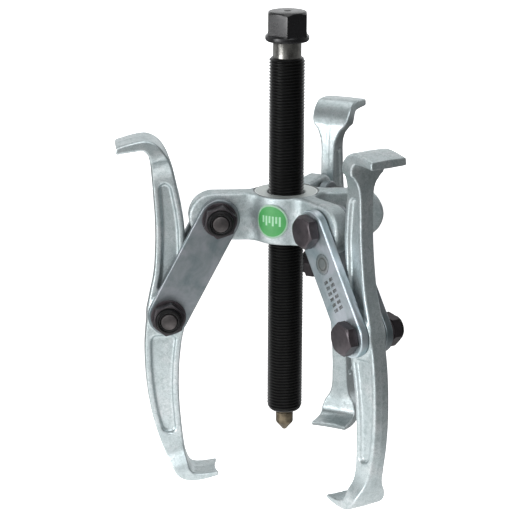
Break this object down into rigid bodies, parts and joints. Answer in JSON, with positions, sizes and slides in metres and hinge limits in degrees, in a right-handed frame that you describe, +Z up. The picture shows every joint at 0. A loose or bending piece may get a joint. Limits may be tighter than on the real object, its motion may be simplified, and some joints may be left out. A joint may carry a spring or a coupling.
{
  "type": "three-jaw gear puller",
  "caption": "Pressure spindle threaded through a forged yoke, with hinged link arms that carry reversible double-ended jaws for pulling gears, pulleys and bearings.",
  "frame": {"origin": "centre of the small flat on the spindle's point", "axes": "+Z up the spindle from its point to its drive hexagon; the left arm lies near -X, the free lug of the yoke near +X"},
  "size_m": [0.1631, 0.1771, 0.2798],
  "materials": {
    "forged_zinc": "zinc plated drop forging, satin and faintly mottled",
    "link_zinc": "zinc plated rolled bar, satin",
    "black_oxide": "black oxide, semi-matte",
    "spindle_black": "black oxide, slightly oiled",
    "tip_steel": "hardened and tempered, brownish",
    "nylon": "matte",
    "green_label": "printed vinyl label"
  },
  "bodies": {
    "yoke": {"yoke": "forged_zinc", "hub_label": "green_label"},
    "link_left": {"link_left_nut_side": "link_zinc", "link_left_head_side": "link_zinc", "yoke_bolt_left": "black_oxide", "yoke_washer_left": "black_oxide", "yoke_nut_left": "black_oxide", "yoke_nut_insert_left": "nylon", "jaw_bolt_left": "black_oxide", "jaw_washer_left": "black_oxide", "jaw_nut_left": "black_oxide", "jaw_nut_insert_left": "nylon"},
    "jaw_left": {"jaw_left": "forged_zinc"},
    "link_front": {"link_front_nut_side": "link_zinc", "link_front_head_side": "link_zinc", "yoke_bolt_front": "black_oxide", "yoke_washer_front": "black_oxide", "yoke_nut_front": "black_oxide", "yoke_nut_insert_front": "nylon", "jaw_bolt_front": "black_oxide", "jaw_washer_front": "black_oxide", "jaw_nut_front": "black_oxide", "jaw_nut_insert_front": "nylon"},
    "jaw_front": {"jaw_front": "forged_zinc"},
    "link_rear": {"link_rear_nut_side": "link_zinc", "link_rear_head_side": "link_zinc", "yoke_bolt_rear": "black_oxide", "yoke_washer_rear": "black_oxide", "yoke_nut_rear": "black_oxide", "yoke_nut_insert_rear": "nylon", "jaw_bolt_rear": "black_oxide", "jaw_washer_rear": "black_oxide", "jaw_nut_rear": "black_oxide", "jaw_nut_insert_rear": "nylon"},
    "jaw_rear": {"jaw_rear": "forged_zinc"},
    "pressure_tip": {"pressure_tip": "tip_steel"},
    "spindle": {"spindle": "spindle_black"}
  },
  "joints": [
    {"name": "link_pivot_left", "type": "hinge", "parent": "yoke", "child": "link_left", "pos_m": [-0.03928, -0.00137, 0.133], "axis": [-0.0349, 0.9994, 0], "range_deg": [-9, 50]},
    {"name": "jaw_pivot_left", "type": "hinge", "parent": "link_left", "child": "jaw_left", "pos_m": [-0.06922, -0.00242, 0.0752], "axis": [0.0349, -0.9994, 0], "range_deg": [-1.5, 16]},
    {"name": "link_pivot_front", "type": "hinge", "parent": "yoke", "child": "link_front", "pos_m": [0.02083, -0.03333, 0.133], "axis": [-0.848, -0.5299, 0], "range_deg": [-16, 42]},
    {"name": "jaw_pivot_front", "type": "hinge", "parent": "link_front", "child": "jaw_front", "pos_m": [0.04091, -0.06547, 0.08007], "axis": [0.848, 0.5299, 0], "range_deg": [-5, 28]},
    {"name": "link_pivot_rear", "type": "hinge", "parent": "yoke", "child": "link_rear", "pos_m": [0.01845, 0.0347, 0.133], "axis": [0.8829, -0.4695, 0], "range_deg": [-19, 41]},
    {"name": "jaw_pivot_rear", "type": "hinge", "parent": "link_rear", "child": "jaw_rear", "pos_m": [0.03684, 0.06929, 0.08101], "axis": [-0.8829, 0.4695, 0], "range_deg": [-2.5, 32]},
    {"name": "spindle_feed", "type": "slide", "parent": "yoke", "child": "pressure_tip", "axis": [0, 0, 1], "range_m": [-0.07982, 0.08163]},
    {"name": "spindle_turn", "type": "hinge", "parent": "pressure_tip", "child": "spindle", "pos_m": [0, 0, 0], "axis": [0, 0, 1], "range_deg": [-15840, 16200]}
  ],
  "couplings": [
    {"joint": "spindle_turn", "follows": "spindle_feed", "rad_per_m": 3463.7}
  ]
}
